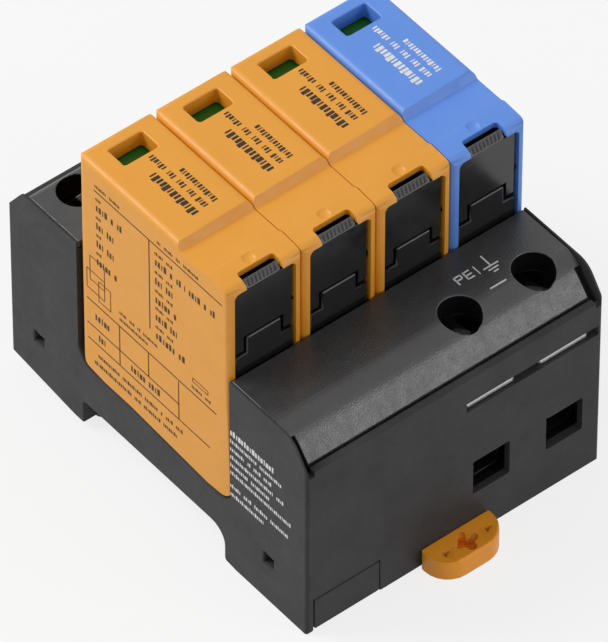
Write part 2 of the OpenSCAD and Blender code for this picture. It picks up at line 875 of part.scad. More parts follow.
// Space inside a hood, open at the front and below, with a collar left round the window
opening_r = 1.2;
collar_t = 1;
collar_low = flag_low + flag_t + play;
module hood_space() {
    step_y = -plug_front + step_in + over;
    low = cheek_front_low - over;
    half = plug_in_w / 2;
    along_y(-plug_front - over, step_y + eps)
        polygon(rounded([
            [-half, low, 0], [half, low, 0],
            [half, pad_top - lintel, opening_r], [-half, pad_top - lintel, opening_r]
        ]));
    difference() {
        along_x(plug_in_w)
            polygon(rounded([
                [step_y, low, 0],
                [hood_in_back, low, 0],
                [hood_in_back, plug_top - hood_wall, edge_r / 2],
                [step_y, plug_top - hood_wall, 0]
            ]));
        translate([0, window_y, collar_low]) linear_extrude(plug_top - collar_low)
            soft_rect([-window_w / 2 - collar_t, -window_l / 2 - collar_t],
                      [window_w / 2 + collar_t, window_l / 2 + collar_t], window_r);
    }
}

// Slanted facet on the outside of each cheek, towards its lower front corner
facet_l = 5.2;
facet_tilt = 4.5;
facet_up = 6;
module cheek_facets() {
    low = cheek_low + facet_up;
    rise = shoulder_h + over - low;
    reach = 2 * facet_l;
    for (m = [0, 1]) mirror([m, 0, 0])
        translate([plug_w / 2, facet_l - plug_front, low])
            rotate([atan(facet_l / rise), 0, 0]) rotate([0, 0, -facet_tilt])
                translate([0, -reach, -reach]) cube([over, reach, norm([facet_l, rise]) + 2 * reach]);
}

// Hood of a plug: top, back and two cheeks around the carrier
notch_gap = 0.35;
notch_l = 3.4;
dimple_r = 1.4;
dimple_depth = 0.45;
dimple_in = 4.8;
module hood(i) {
    half = plug_w / 2;
    ball_r = (dimple_r * dimple_r + dimple_depth * dimple_depth) / (2 * dimple_depth);
    pad_z = pad_top - pad_fall * (1 - dimple_in / pad_l);
    color(i == earth_plug ? blue : orange) translate([plug_x(i), 0, 0]) difference() {
        intersection() {
            along_x(plug_w) polygon(hood_outline());
            along_y(-plug_front - over, plug_back + over)
                polygon(rounded([
                    [-half, 0, 0], [half, 0, 0],
                    [half, plug_top, side_r], [-half, plug_top, side_r]
                ]));
            translate([0, 0, cheek_front_low - over]) linear_extrude(plug_top)
                polygon(rounded([
                    [-half, -plug_front, hood_front_r], [half, -plug_front, hood_front_r],
                    [half, plug_back, hood_back_r], [-half, plug_back, hood_back_r]
                ]));
        }
        hood_space();
        cheek_facets();
        translate([0, window_y, collar_low - over]) linear_extrude(plug_top - collar_low + 2 * over)
            soft_rect([-window_w / 2, -window_l / 2], [window_w / 2, window_l / 2], window_r);
        translate([0, 0, pad_top - lintel - over]) linear_extrude(lintel + 2 * over)
            soft_rect([-grip_w / 2 - notch_gap, -plug_front - over],
                      [grip_w / 2 + notch_gap, -plug_front + notch_l], soft_r);
        translate([0, -plug_front + dimple_in, pad_z + ball_r - dimple_depth])
            rotate([90, 0, 0]) sphere(r = ball_r);
        translate([0, pivot_y, pivot_z]) rotate([0, 90, 0])
            cylinder(r = pivot_r + pivot_play, h = plug_in_w + 2 * (pivot_l + snug / 2), center = true);
    }
}

// Inner body of a plug: frame around the varistor, front wall and tongue
front_wall_drop = 4;
front_wall_low = shoulder_h - front_wall_drop;
arm_side = 0.8;
rib_in = carrier_w / 2 - 2 * snug;
rib_out = arm_w / 2 + arm_side;
module carrier(i) {
    half = carrier_w / 2;
    back = hood_in_back - snug;
    color(jet) translate([plug_x(i), 0, 0]) difference() {
        union() {
            difference() {
                span([-half, bulkhead_y, carrier_low], [half, back, deck_top]);
                span([-half - over, bulkhead_y + carrier_wall, carrier_low + carrier_wall],
                     [half + over, back - carrier_wall, deck_top - deck_t]);
            }
            for (s = [0, 1]) mirror([s, 0, 0])
                span([rib_out, latch_y + eps, front_wall_low], [rib_in, bulkhead_y + eps, front_wall_top]);
            along_y(latch_y, latch_back)
                polygon([
                    [-latch_w / 2, front_wall_low], [latch_w / 2, front_wall_low],
                    [latch_w / 2, front_wall_top], [tongue_w / 2, front_wall_top],
                    [tongue_w / 2, tongue_top], [-tongue_w / 2, tongue_top],
                    [-tongue_w / 2, front_wall_top], [-latch_w / 2, front_wall_top]
                ]);
        }
        for (s = [-1, 1])
            translate([0, s * blade_at, carrier_low])
                cube([blade_t, blade_w, 4 * carrier_wall], center = true);
        flag_slot();
    }
}

// Slot in the carrier's deck for the flag's leg
leg_in = 5;
leg_x = -leg_in;
flag_side = 0.8;
flag_ahead = 1.2;
flag_front = window_y - window_l / 2 - flag_ahead;
module flag_slot() {
    span([leg_x - play, flag_front - flag_travel - play, deck_top - deck_t - over],
         [leg_x + flag_leg + play, flag_front + flag_leg + play, deck_top + over]);
}

// Release lever of a plug: front panel, ribbed grip, pivot stubs and hook arm
tongue_gap = 0.6;
latch_sink = 0.25;
grip_lean = 0.9;
grip_foot = 0.3;
rib_depth = 0.25;
boss_low = 1.5;
boss_high = 3;
nose_mid = 1.4;
nose_h = 2;
module latch(i) {
    half = latch_w / 2;
    skirt_in = tongue_w / 2 + tongue_gap;
    face = latch_y + latch_sink;
    arch = tongue_top + play;
    pitch = grip_w / grip_ribs;
    color(jet) translate([plug_x(i), 0, 0]) {
        difference() {
            union() {
                along_y(face, latch_back)
                    polygon([
                        [-half, skirt_low], [-skirt_in, skirt_low], [-skirt_in, arch], [skirt_in, arch],
                        [skirt_in, skirt_low], [half, skirt_low], [half, latch_top], [-half, latch_top]
                    ]);
                along_x(grip_w)
                    polygon([
                        [face, latch_top - eps], [latch_back, latch_top - eps], [latch_back, grip_top],
                        [face + grip_lean, grip_top], [face, latch_top + grip_foot]
                    ]);
            }
            for (r = [1 : grip_ribs - 1])
                translate([-grip_w / 2 + r * pitch, face, latch_top + grip_foot])
                    rotate([-atan(grip_lean / (grip_h - grip_foot)), 0, 0])
                        translate([-pitch / 4, -over, 0]) cube([pitch / 2, over + rib_depth, grip_h * 2]);
        }
        translate([0, pivot_y, pivot_z]) rotate([0, 90, 0])
            cylinder(r = pivot_r, h = plug_in_w + 2 * pivot_l, center = true);
        span([-arm_w / 2, latch_back - eps, pivot_z - boss_low],
             [arm_w / 2, arm_back, pivot_z + boss_high]);
        span([-arm_w / 2, arm_y, arm_low], [arm_w / 2, arm_back, pivot_z]);
        along_x(arm_w)
            polygon([
                [arm_back - eps, arm_low], [arm_back + nose_out, arm_low + nose_mid],
                [arm_back - eps, arm_low + nose_h]
            ]);
    }
}

// Pair of contact blades of a plug: the front one reaches up to the protection element
contact_up = 9;
spark_z = varistor_low + contact_up + spark_r;
module contact_blades(i) {
    half_t = blade_t / 2;
    half_w = blade_w / 2;
    front_top = i == earth_plug ? spark_z : varistor_low + contact_up;
    color(tin) translate([plug_x(i), 0, 0]) {
        span([-half_t, -blade_at - half_w, blade_low], [half_t, -blade_at + half_w, front_top]);
        span([-half_t, blade_at - half_w, blade_low], [half_t, blade_at + half_w, blade_link_top]);
    }
}

// Sprung strip from the back blade, soldered to the protection element
link_t = 0.6;
link_w = 6;
link_side = 3.6;
link_foot = 1.6;
link_up = 24;
function link_x(i) = i == earth_plug ? -spark_r - link_t - play : -link_side;
function link_top(i) = i == earth_plug ? spark_z + spark_r + link_t : varistor_low + link_up;
module thermal_link(i) {
    x = link_x(i);
    top = link_top(i);
    far = blade_t / 2;
    foot = blade_link_top - link_foot;
    color(copper) translate([plug_x(i), 0, 0]) along_y(blade_at - link_w / 2, blade_at + link_w / 2)
        polygon([
            [x, foot], [-far, foot], [-far, foot + link_t], [x + link_t, foot + link_t],
            [x + link_t, top - link_t], [far, top - link_t], [far, top], [x, top]
        ]);
}

// Coloured slide below the status window, with a leg down to the thermal link
module status_flag(i) {
    half = window_w / 2 + flag_side;
    color(green) translate([plug_x(i), 0, 0]) {
        span([-half, flag_front, flag_low], [half, hood_in_back - block_gap, flag_low + flag_t]);
        span([leg_x, flag_front, link_top(1) + solder_gap],
             [leg_x + flag_leg, flag_front + flag_leg, flag_low + eps]);
    }
}

// Varistor block of a line plug
varistor_r = 2.5;
module varistor(i) {
    mid = (bulkhead_y + hood_in_back) / 2;
    half = varistor_l / 2;
    color(slate) translate([plug_x(i) + blade_t / 2, mid, varistor_low + half])
        rotate([90, 0, 90]) linear_extrude(varistor_t)
            soft_rect([-half, -half], [half, half], varistor_r);
}

// Spark gap of the neutral-to-earth plug: ceramic tube with metal end caps
cap_l = 2.5;
cap_rise = 0.5;
module spark_gap() {
    low = -blade_at + blade_w / 2;
    body_l = 2 * blade_at;
    tube_r = spark_r - cap_rise;
    color(ceramic) translate([plug_x(earth_plug), low, spark_z])
        rotate([-90, 0, 0]) rotate_extrude()
            polygon([
                [0, 0], [spark_r, 0], [spark_r, cap_l], [tube_r, cap_l],
                [tube_r, body_l - cap_l], [spark_r, body_l - cap_l], [spark_r, body_l], [0, body_l]
            ]);
}

base_housing();
top_cover();
back_cover();
socket_tray();
signal_port_blank();
din_foot();
for (i = line_plugs) line_bar(i);
neutral_bar();
earth_bar();
socket_clips();
for (k = clamp_numbers) clamp_cage(k);
for (k = clamp_numbers) clamp_screw(k);
for (i = plugs) hood(i);
for (i = plugs) carrier(i);
for (i = plugs) latch(i);
for (i = plugs) contact_blades(i);
for (i = plugs) thermal_link(i);
for (i = plugs) status_flag(i);
for (i = line_plugs) varistor(i);
spark_gap();
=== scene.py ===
"""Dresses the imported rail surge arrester: softened mouldings, finishes, print and studio.

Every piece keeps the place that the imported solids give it. What shows is a softened copy
of its solid, most pieces hidden inside keep their solids and get a finish, and the print
is made of thin strips of ink.
"""
import json
import logging
import math
from collections.abc import Callable
from dataclasses import dataclass, field
from enum import Enum

import bmesh
import bpy
from mathutils import Matrix, Vector
from mathutils.bvhtree import BVHTree
from mathutils.geometry import area_tri, intersect_point_line

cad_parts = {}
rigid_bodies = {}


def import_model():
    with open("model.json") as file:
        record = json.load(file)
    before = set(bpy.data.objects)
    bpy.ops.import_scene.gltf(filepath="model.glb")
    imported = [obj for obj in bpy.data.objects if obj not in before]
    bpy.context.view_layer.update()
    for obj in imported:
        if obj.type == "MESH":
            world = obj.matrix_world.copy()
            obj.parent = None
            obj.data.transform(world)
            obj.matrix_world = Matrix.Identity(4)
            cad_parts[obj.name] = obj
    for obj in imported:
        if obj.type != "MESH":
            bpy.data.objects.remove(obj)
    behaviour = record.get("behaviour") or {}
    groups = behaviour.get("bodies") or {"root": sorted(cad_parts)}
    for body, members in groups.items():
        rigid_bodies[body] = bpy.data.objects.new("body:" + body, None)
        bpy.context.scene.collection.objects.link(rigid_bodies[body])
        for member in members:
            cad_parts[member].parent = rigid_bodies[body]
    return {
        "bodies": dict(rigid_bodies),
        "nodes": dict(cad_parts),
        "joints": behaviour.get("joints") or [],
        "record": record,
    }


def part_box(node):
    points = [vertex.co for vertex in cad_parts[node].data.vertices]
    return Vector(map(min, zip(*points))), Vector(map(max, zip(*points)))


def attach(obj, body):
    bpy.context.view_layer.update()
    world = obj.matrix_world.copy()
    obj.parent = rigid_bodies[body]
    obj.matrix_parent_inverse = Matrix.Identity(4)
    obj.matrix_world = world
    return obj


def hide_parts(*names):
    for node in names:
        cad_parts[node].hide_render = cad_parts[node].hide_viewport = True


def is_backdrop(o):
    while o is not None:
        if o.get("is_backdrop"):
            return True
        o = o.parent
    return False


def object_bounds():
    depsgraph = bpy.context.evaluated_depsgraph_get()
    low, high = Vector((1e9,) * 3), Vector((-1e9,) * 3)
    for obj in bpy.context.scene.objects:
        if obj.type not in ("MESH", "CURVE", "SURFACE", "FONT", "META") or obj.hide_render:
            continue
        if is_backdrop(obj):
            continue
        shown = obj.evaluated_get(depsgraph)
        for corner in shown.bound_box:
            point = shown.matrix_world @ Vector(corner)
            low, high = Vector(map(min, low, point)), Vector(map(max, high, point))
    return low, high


MM = 0.001
LOG = logging.getLogger("arrester")

Triple = tuple[float, float, float]
Lengths = tuple[float, ...]
Socket = bpy.types.NodeSocket
SpotTest = Callable[[Vector], bool]


class Axis(Enum):
    """Direction of a brushed or rolled grain, as the scale of the noise along X, Y and Z."""

    ALONG_Y = (1.0, 0.06, 1.0)
    ALONG_Z = (1.0, 1.0, 0.06)


@dataclass(frozen=True)
class Pattern:
    """Noise on a surface: size of one grain in metres, octaves and scale along X, Y and Z."""

    size: float
    octaves: float = 2.0
    stretch: Triple = (1.0, 1.0, 1.0)


@dataclass(frozen=True)
class Relief:
    """Bump of a surface: height in metres at factor 1, and strength."""

    depth: float
    strength: float


class NodeBench:
    """Adds and links shader nodes in the tree of one material or world."""

    def __init__(self, owner: bpy.types.Material | bpy.types.World) -> None:
        """Empties the owner's tree.

        Args:
            owner: The material or world whose tree is filled.
        """
        owner.use_nodes = True
        self.tree = owner.node_tree
        self.tree.nodes.clear()

    def add(self, kind: str, **settings: object) -> bpy.types.Node:
        """Adds a node and sets its properties.

        Args:
            kind: Type name of the node without its common prefix.
            settings: Properties of the node.

        Returns:
            The new node.
        """
        node = self.tree.nodes.new("ShaderNode" + kind)
        for key, value in settings.items():
            setattr(node, key, value)
        return node

    def link(self, source: Socket, target: Socket) -> None:
        """Links two sockets."""
        self.tree.links.new(source, target)

    def reckon(self, operation: str, *terms: Socket | float) -> Socket:
        """Adds a Math node.

        Args:
            operation: Name of the operation.
            terms: Its inputs in order, each a socket or a plain number.

        Returns:
            The result's socket.
        """
        node = self.add("Math", operation=operation)
        for slot, term in zip(node.inputs, terms):
            if isinstance(term, Socket):
                self.link(term, slot)
            else:
                slot.default_value = term
        return node.outputs[0]


class SurfaceBench(NodeBench):
    """Bench of a material whose one shader is driven by patterns on object coordinates."""

    # Most values of a noise lie between these two.
    noise_low: float = 0.3
    noise_high: float = 0.7
    # The Mix node's colour sockets share their names with others, so they go by number.
    first_colour: int = 6
    second_colour: int = 7
    mixed_colour: int = 2

    def __init__(self, material: bpy.types.Material) -> None:
        """Sets up the material's output and shader.

        Args:
            material: The material whose tree is filled.
        """
        super().__init__(material)
        self.shader = self.add("BsdfPrincipled")
        self.link(self.shader.outputs["BSDF"], self.add("OutputMaterial").inputs["Surface"])
        self.place = self.add("TexCoord").outputs["Object"]

    def noise(self, pattern: Pattern) -> Socket:
        """Adds a noise on object coordinates.

        Args:
            pattern: Size, octaves and stretch of the noise.

        Returns:
            The noise's factor socket.
        """
        mapping = self.add("Mapping")
        mapping.inputs["Scale"].default_value = pattern.stretch
        self.link(self.place, mapping.inputs["Vector"])
        node = self.add("TexNoise")
        node.inputs["Scale"].default_value = 1.0 / pattern.size
        node.inputs["Detail"].default_value = pattern.octaves
        self.link(mapping.outputs["Vector"], node.inputs["Vector"])
        return node.outputs["Fac"]

    def spread(self, source: Socket, low: float = 0.0, high: float = 1.0) -> Socket:
        """Maps the middle of a noise onto a range of values.

        Args:
            source: Factor to map.
            low: Value at the dark end.
            high: Value at the light end.

        Returns:
            The mapped value's socket.
        """
        node = self.add("MapRange")
        for name, value in (("From Min", self.noise_low), ("From Max", self.noise_high),
                            ("To Min", low), ("To Max", high)):
            node.inputs[name].default_value = value
        self.link(source, node.inputs["Value"])
        return node.outputs["Result"]

    def relief(self, height: Socket, bump: Relief, under: Socket | None = None) -> Socket:
        """Turns a height into a bumped normal.

        Args:
            height: Height factor.
            bump: Depth and strength of the bump.
            under: Normal of a coarser relief below this one.

        Returns:
            The bumped normal's socket.
        """
        node = self.add("Bump")
        node.inputs["Strength"].default_value = bump.strength
        node.inputs["Distance"].default_value = bump.depth
        self.link(height, node.inputs["Height"])
        if under is not None:
            self.link(under, node.inputs["Normal"])
        return node.outputs["Normal"]

    def paint(self, factor: Socket, first: Triple, second: Triple) -> None:
        """Mixes two colours into the base colour.

        Args:
            factor: Mixing factor.
            first: Colour at factor 0.
            second: Colour at factor 1.
        """
        node = self.add("Mix", data_type="RGBA")
        node.inputs[self.first_colour].default_value = (*first, 1.0)
        node.inputs[self.second_colour].default_value = (*second, 1.0)
        self.link(factor, node.inputs["Factor"])
        self.drive("Base Color", node.outputs[self.mixed_colour])

    def dull(self, source: Socket, shiniest: float, dullest: float) -> None:
        """Maps a noise onto the shader's roughness."""
        self.drive("Roughness", self.spread(source, shiniest, dullest))

    def drive(self, name: str, source: Socket) -> None:
        """Links a socket to one of the shader's inputs."""
        self.link(source, self.shader.inputs[name])

    def value(self, name: str, number: float) -> None:
        """Sets one plain number on the shader."""
        self.shader.inputs[name].default_value = number


@dataclass(frozen=True)
class MouldedPlastic:
    """Injection-moulded plastic with a spark-eroded grain."""

    name: str
    colour: Triple
    tint: Triple
    roughness: float
    grain: float = 0.26 * MM
    depth: float = 0.02 * MM
    gloss: float = 0.4
    grain_strength: float = 0.8
    cloud: Pattern = Pattern(9 * MM, 3.0)
    speck_share: float = 0.45
    patches: Pattern = Pattern(2.2 * MM, 3.0)
    uneven: float = 0.05
    waves: Pattern = Pattern(5 * MM, 1.0)
    wave_relief: Relief = Relief(0.012 * MM, 0.5)

    def fill(self, bench: SurfaceBench) -> None:
        """Builds the nodes: slow mottling, fine speckle, uneven sheen and two reliefs.

        Args:
            bench: Bench of the material.
        """
        speck = bench.noise(Pattern(self.grain, 1.0))
        cloud = bench.reckon("MULTIPLY", bench.noise(self.cloud), 1.0 - self.speck_share)
        mottle = bench.reckon("MULTIPLY_ADD", speck, self.speck_share, cloud)
        bench.paint(bench.spread(mottle), self.colour, self.tint)
        bench.dull(bench.noise(self.patches), self.roughness - self.uneven, self.roughness + self.uneven)
        waves = bench.relief(bench.noise(self.waves), self.wave_relief)
        bench.drive("Normal", bench.relief(speck, Relief(self.depth, self.grain_strength), waves))
        bench.value("Specular IOR Level", self.gloss)


@dataclass(frozen=True)
class PlatedMetal:
    """Drawn or stamped metal with a plated surface and fine lines along one axis.

    A thread is a wave pattern, in which one band at a scale of 1 is as long as band says.
    """

    name: str
    colour: Triple
    tint: Triple
    roughness: float
    lines: Axis = Axis.ALONG_Y
    thread_pitch: float = 0.0
    line_size: float = 0.12 * MM
    line_relief: Relief = Relief(0.006 * MM, 0.6)
    shinier: float = 0.08
    duller: float = 0.1
    cloud: Pattern = Pattern(3 * MM, 3.0)
    thread_relief: Relief = Relief(0.3 * MM, 0.7)
    band: float = math.pi / 10

    def fill(self, bench: SurfaceBench) -> None:
        """Builds the nodes: brushed lines, cloudy plating and, on screws, a thread.

        Args:
            bench: Bench of the material.
        """
        streak = bench.noise(Pattern(self.line_size, stretch=self.lines.value))
        bench.paint(bench.spread(bench.noise(self.cloud)), self.colour, self.tint)
        bench.dull(streak, self.roughness - self.shinier, self.roughness + self.duller)
        normal = bench.relief(streak, self.line_relief)
        if self.thread_pitch > 0:
            wave = bench.add("TexWave", wave_type="BANDS", bands_direction="Z", wave_profile="TRI")
            wave.inputs["Scale"].default_value = self.band / self.thread_pitch
            bench.link(bench.place, wave.inputs["Vector"])
            normal = bench.relief(wave.outputs["Fac"], self.thread_relief, normal)
        bench.drive("Normal", normal)
        bench.value("Metallic", 1.0)


@dataclass(frozen=True)
class DippedEpoxy:
    """Thick dipped coating with soft runs."""

    name: str
    colour: Triple
    tint: Triple
    cloud: Pattern = Pattern(4 * MM, 4.0)
    runs: Pattern = Pattern(2.5 * MM)
    run_relief: Relief = Relief(0.12 * MM, 0.6)
    pinholes: Pattern = Pattern(0.4 * MM, 1.0)
    pinhole_relief: Relief = Relief(0.01 * MM, 0.5)
    shiniest: float = 0.28
    dullest: float = 0.42

    def fill(self, bench: SurfaceBench) -> None:
        """Builds the nodes: cloudy colour, pinholes and slow runs in a glossy skin.

        Args:
            bench: Bench of the material.
        """
        cloud = bench.noise(self.cloud)
        bench.paint(bench.spread(cloud), self.colour, self.tint)
        runs = bench.relief(bench.noise(self.runs), self.run_relief)
        bench.drive("Normal", bench.relief(bench.noise(self.pinholes), self.pinhole_relief, runs))
        bench.dull(cloud, self.shiniest, self.dullest)


@dataclass(frozen=True)
class CappedCeramic:
    """Glazed ceramic tube with pressed metal caps at both ends."""

    name: str
    glaze: Triple
    metal: Triple
    first_cap: float
    last_cap: float
    patches: Pattern = Pattern(1.2 * MM, 3.0)
    shiniest: float = 0.2
    dullest: float = 0.34
    waves: Pattern = Pattern(1.5 * MM)
    wave_relief: Relief = Relief(0.02 * MM, 0.5)

    def fill(self, bench: SurfaceBench) -> None:
        """Builds the nodes: glaze in the middle, metal beyond the two cap planes along Y.

        Args:
            bench: Bench of the material.
        """
        split = bench.add("SeparateXYZ")
        bench.link(bench.place, split.inputs[0])
        along = split.outputs["Y"]
        caps = bench.reckon("MAXIMUM", bench.reckon("LESS_THAN", along, self.first_cap),
                            bench.reckon("GREATER_THAN", along, self.last_cap))
        bench.paint(caps, self.glaze, self.metal)
        bench.drive("Metallic", caps)
        bench.dull(bench.noise(self.patches), self.shiniest, self.dullest)
        bench.drive("Normal", bench.relief(bench.noise(self.waves), self.wave_relief))


@dataclass(frozen=True)
class PrintInk:
    """Thin pad-printed ink with slightly uneven cover."""

    name: str
    colour: Triple
    thin: Triple
    cover: Pattern = Pattern(0.35 * MM)
    pits: Relief = Relief(0.006 * MM, 0.5)
    shiniest: float = 0.5
    dullest: float = 0.62
    gloss: float = 0.3

    def fill(self, bench: SurfaceBench) -> None:
        """Builds the nodes: worn cover and a dull, faintly pitted surface.

        Args:
            bench: Bench of the material.
        """
        cover = bench.noise(self.cover)
        bench.paint(bench.spread(cover), self.thin, self.colour)
        bench.dull(cover, self.shiniest, self.dullest)
        bench.drive("Normal", bench.relief(cover, self.pits))
        bench.value("Specular IOR Level", self.gloss)


Finish = MouldedPlastic | PlatedMetal | DippedEpoxy | CappedCeramic | PrintInk

HOUSING_BLACK = MouldedPlastic("housing_black", (0.037, 0.037, 0.0375), (0.058, 0.058, 0.0585), 0.42,
                               grain=0.28 * MM, depth=0.035 * MM, gloss=0.08)
COVER_BLACK = MouldedPlastic("cover_black", (0.016, 0.016, 0.0165), (0.040, 0.040, 0.0405), 0.35,
                             grain=0.33 * MM, depth=0.085 * MM, gloss=0.72)
# Painted shade: a near-black for the walls of the screw holes, darker than the cover's own black.
HOLE_PAINTED_SHADE = MouldedPlastic("hole_painted_shade", (0.004, 0.004, 0.004), (0.006, 0.006, 0.006), 0.6,
                             gloss=0.05)
LATCH_BLACK = MouldedPlastic("latch_black", (0.008, 0.008, 0.0085), (0.013, 0.013, 0.0135), 0.22,
                             depth=0.006 * MM, gloss=0.5)
# Painted highlight: the latch's own black plastic, made lighter on the grip where its ribs catch the light.
GRIP_PAINTED_HIGHLIGHT = MouldedPlastic("grip_painted_highlight", (0.040, 0.040, 0.041), (0.060, 0.060, 0.061), 0.38,
                            depth=0.006 * MM, gloss=0.6)
HOOD_ORANGE = MouldedPlastic("hood_orange", (0.73, 0.295, 0.012), (0.77, 0.325, 0.020), 0.5,
                             depth=0.010 * MM, gloss=0.75)
HOOD_BLUE = MouldedPlastic("hood_blue", (0.085, 0.235, 0.70), (0.105, 0.265, 0.75), 0.5,
                           depth=0.010 * MM, gloss=0.8)
FOOT_ORANGE = MouldedPlastic("foot_orange", (0.95, 0.35, 0.022), (0.97, 0.375, 0.030), 0.38,
                             depth=0.006 * MM, gloss=0.3)
FLAG_GREEN = MouldedPlastic("flag_green", (0.022, 0.16, 0.012), (0.03, 0.2, 0.018), 0.35,
                            depth=0.006 * MM)
TINNED_COPPER = PlatedMetal("tinned_copper", (0.66, 0.66, 0.64), (0.74, 0.74, 0.72), 0.38)
# Painted shade: the cage steel is coloured near black, so the wire entries look shaded inside.
CAGE_STEEL_PAINTED_SHADE = PlatedMetal("cage_steel_painted_shade", (0.07, 0.07, 0.072), (0.10, 0.10, 0.102), 0.42, Axis.ALONG_Z)
SCREW_STEEL = PlatedMetal("screw_steel", (0.60, 0.61, 0.62), (0.68, 0.69, 0.70), 0.33, Axis.ALONG_Z,
                          thread_pitch=0.8 * MM)
BARE_COPPER = PlatedMetal("bare_copper", (0.72, 0.39, 0.23), (0.80, 0.46, 0.29), 0.32)
VARISTOR_EPOXY = DippedEpoxy("varistor_epoxy", (0.05, 0.10, 0.28), (0.07, 0.14, 0.34))
BLACK_INK = PrintInk("black_ink", (0.012, 0.010, 0.010), (0.05, 0.03, 0.015))
WHITE_INK = PrintInk("white_ink", (0.82, 0.82, 0.82), (0.62, 0.62, 0.62))


class Palette:
    """Keeps one material for each finish."""

    def __init__(self) -> None:
        """Starts with no materials."""
        self.made: dict[str, bpy.types.Material] = {}

    def material(self, finish: Finish) -> bpy.types.Material:
        """Gives a finish's material, made on first use.

        Args:
            finish: The finish.

        Returns:
            Its material.
        """
        if finish.name not in self.made:
            material = bpy.data.materials.new(finish.name)
            finish.fill(SurfaceBench(material))
            self.made[finish.name] = material
        return self.made[finish.name]


def object_of(name: str, shape: bmesh.types.BMesh) -> bpy.types.Object:
    """Makes an object of a finished shape.

    Args:
        name: Name of the object and of its mesh.
        shape: The shape, which is used up.

    Returns:
        The new object.
    """
    mesh = bpy.data.meshes.new(name)
    shape.to_mesh(mesh)
    shape.free()
    made = bpy.data.objects.new(name, mesh)
    bpy.context.collection.objects.link(made)
    return made


@dataclass
class EdgeSoftener:
    """Rounds off the sharp convex edges of a shape wherever there is room for the full width.

    An edge counts as sharp from the angle sharp_from on. Lengths keep a little spare, a face
    counts as folded when its triangles cover more than its area by fold, and an edge is near
    a crossing within near_widths times the width.
    """

    shape: bmesh.types.BMesh
    width: float
    segments: int
    stays_sharp: SpotTest
    sharp_from: float = math.radians(25)
    spare: float = 0.02 * MM
    fold: float = 0.1 * MM * MM
    near_widths: float = 3.0
    passes: int = 12
    trials: int = 8

    def soften(self) -> bmesh.types.BMesh:
        """Rounds the edges off, and leaves those sharp at which rounded faces would cross.

        Returns:
            The softened shape. The first shape is used up.
        """
        chosen = {edge.index for edge in self.roomy_edges()}
        soft, spots = self.rounded(chosen)
        for _ in range(self.trials):
            if not spots:
                break
            chosen -= {number for number in chosen if self.is_near(number, spots)}
            soft.free()
            soft, spots = self.rounded(chosen)
        if spots:
            LOG.warning("%d crossings are left", len(spots))
        self.shape.free()
        return soft

    def is_sharp(self, edge: bmesh.types.BMEdge) -> bool:
        """Tells whether an edge between two faces is convex and sharp."""
        return len(edge.link_faces) == 2 and edge.is_convex and edge.calc_face_angle(0.0) > self.sharp_from

    def roomy_edges(self) -> set[bmesh.types.BMEdge]:
        """Finds the sharp edges whose neighbours leave room for the width.

        Returns:
            These edges.
        """
        self.shape.edges.index_update()
        self.shape.edges.ensure_lookup_table()
        chosen = {edge for edge in self.shape.edges if self.is_sharp(edge)
                  and not self.stays_sharp((edge.verts[0].co + edge.verts[1].co) / 2)}
        for _ in range(self.passes):
            tight = {edge for edge in chosen if self.is_tight(edge, chosen)}
            if not tight:
                break
            chosen -= tight
        return chosen

    def is_tight(self, edge: bmesh.types.BMEdge, chosen: set[bmesh.types.BMEdge]) -> bool:
        """Tells whether an edge, or a neighbour that it slides along, is too short.

        Args:
            edge: The edge to round off.
            chosen: All edges that are to be rounded off.

        Returns:
            True where there is no room for the width.
        """
        for face in edge.link_faces:
            left = edge.calc_length() - self.spare
            for corner in (loop for loop in face.loops if loop.vert in edge.verts):
                neighbour = corner.edge if corner.edge is not edge else corner.link_loop_prev.edge
                angle = corner.calc_angle()
                inner = angle if corner.is_convex else math.tau - angle
                if neighbour in chosen:
                    left -= self.width / math.tan(inner / 2)
                elif self.blocks(neighbour, corner, inner, chosen):
                    return True
                elif inner < math.pi - self.sharp_from:
                    left -= self.width / math.tan(inner)
            if left < 0:
                return True
        return False

    def blocks(self, neighbour: bmesh.types.BMEdge, corner: bmesh.types.BMLoop, inner: float,
               chosen: set[bmesh.types.BMEdge]) -> bool:
        """Tells whether a neighbour that isn't rounded is too short to slide along.

        Args:
            neighbour: The neighbour, on the same face.
            corner: Corner of the face where it meets the rounded edge.
            inner: Angle of the face at that corner.
            chosen: All edges that are to be rounded off.

        Returns:
            True where the neighbour is too short.
        """
        far = neighbour.other_vert(corner.vert)
        shares = 2 if any(edge in chosen for edge in far.link_edges) else 1
        straight = math.pi - self.spare / self.width
        slide = self.width / math.sin(inner) if inner < straight else self.width
        return neighbour.calc_length() < shares * slide + self.spare

    def rounded(self, chosen: set[int]) -> tuple[bmesh.types.BMesh, list[Vector]]:
        """Rounds a copy off at the chosen edges.

        Args:
            chosen: Numbers of the edges.

        Returns:
            The rounded copy, and the places where its faces cross.
        """
        trial = self.shape.copy()
        trial.edges.ensure_lookup_table()
        bmesh.ops.bevel(trial, geom=[trial.edges[number] for number in sorted(chosen)], offset=self.width,
                        offset_type="OFFSET", affect="EDGES", segments=self.segments, profile=0.5,
                        material=-1, clamp_overlap=False)
        return trial, self.crossings(trial)

    def crossings(self, trial: bmesh.types.BMesh) -> list[Vector]:
        """Finds where faces without a shared corner cross, and where a face folds over itself.

        Args:
            trial: The rounded copy.

        Returns:
            The middles of the crossings and the corners of the folded faces.
        """
        trial.verts.index_update()
        places = [vert.co.copy() for vert in trial.verts]
        loops = trial.calc_loop_triangles()
        triangles = [tuple(loop.vert.index for loop in three) for three in loops]
        tree = BVHTree.FromPolygons(places, triangles, all_triangles=True)
        spots: list[Vector] = []
        for first, second in tree.overlap(tree):
            if first < second and not set(triangles[first]) & set(triangles[second]):
                pair = [[places[i] for i in triangles[number]] for number in (first, second)]
                spots.append(self.shared_middle(pair))
        cover = dict.fromkeys(trial.faces, 0.0)
        for three, corners in zip(loops, triangles):
            cover[three[0].face] += area_tri(*(places[i] for i in corners))
        for face, area in cover.items():
            if area > face.calc_area() + self.fold:
                spots += [vert.co.copy() for vert in face.verts]
        return spots

